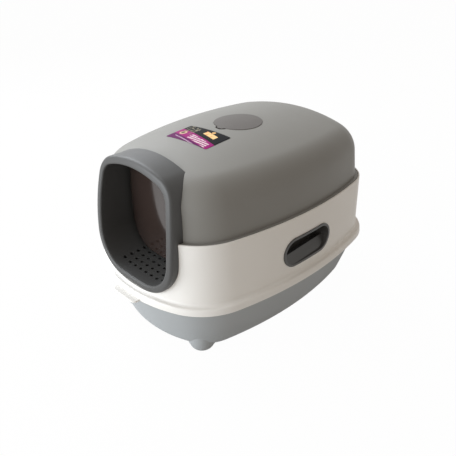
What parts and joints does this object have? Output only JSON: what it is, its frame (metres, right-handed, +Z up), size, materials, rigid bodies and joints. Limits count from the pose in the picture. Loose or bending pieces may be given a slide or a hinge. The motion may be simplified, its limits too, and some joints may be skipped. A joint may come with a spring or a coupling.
{
  "type": "hooded litter box",
  "caption": "Hooded cat litter box: footed pan, ring with side grips, domed hood, front entry with a swinging tinted flap, and a carbon filter under a round lid.",
  "frame": {"origin": "on the floor, at the middle of the overall footprint (finger tab included)", "axes": "+Z up; -Y towards the entry and its flap, +Y towards the back; +X towards the grip on the right as seen from the front"},
  "size_m": [0.4274, 0.5679, 0.3796],
  "materials": {
    "pan_plastic": "fine satin grain",
    "ring_plastic": "smooth satin",
    "hood_plastic": "smooth satin",
    "collar_plastic": "smooth satin",
    "cover_plastic": "smooth satin",
    "grip_plastic": "smooth satin",
    "smoke_plastic": "polished, brown smoke tint",
    "pad_rubber": "matt",
    "steel": "bright",
    "carbon_felt": "open felt loaded with carbon",
    "label_film": "printed film"
  },
  "bodies": {
    "pan": {"pan": "pan_plastic", "foot_pad_front_left": "pad_rubber", "foot_pad_front_right": "pad_rubber", "foot_pad_rear_left": "pad_rubber", "foot_pad_rear_right": "pad_rubber"},
    "ring": {"ring": "ring_plastic", "collar": "collar_plastic", "collar_screws": "steel", "handle_left": "grip_plastic", "handle_right": "grip_plastic", "flap_rod": "steel", "rod_cap_left": "grip_plastic", "rod_cap_right": "grip_plastic"},
    "flap": {"flap": "smoke_plastic"},
    "hood": {"hood": "hood_plastic", "filter_basket": "collar_plastic", "sticker": "label_film"},
    "cover": {"filter_cover": "cover_plastic"},
    "filter": {"carbon_filter": "carbon_felt"}
  },
  "joints": [
    {"name": "ring_lift", "type": "slide", "parent": "pan", "child": "ring", "axis": [0, 0, 1], "range_m": [0, 0.12]},
    {"name": "hood_lift", "type": "slide", "parent": "ring", "child": "hood", "axis": [0, 0, 1], "range_m": [0, 0.16]},
    {"name": "flap_swing", "type": "hinge", "parent": "ring", "child": "flap", "pos_m": [0, -0.1832, 0.341], "axis": [1, 0, 0], "range_deg": [-60, 80]},
    {"name": "cover_lift", "type": "slide", "parent": "hood", "child": "cover", "axis": [0, 0, 1], "range_m": [0, 0.1]},
    {"name": "filter_lift", "type": "slide", "parent": "hood", "child": "filter", "axis": [0, 0, 1], "range_m": [0, 0.06]}
  ],
  "couplings": [
    {"joint": "filter_lift", "follows": "cover_lift", "ratio": 0.6}
  ]
}
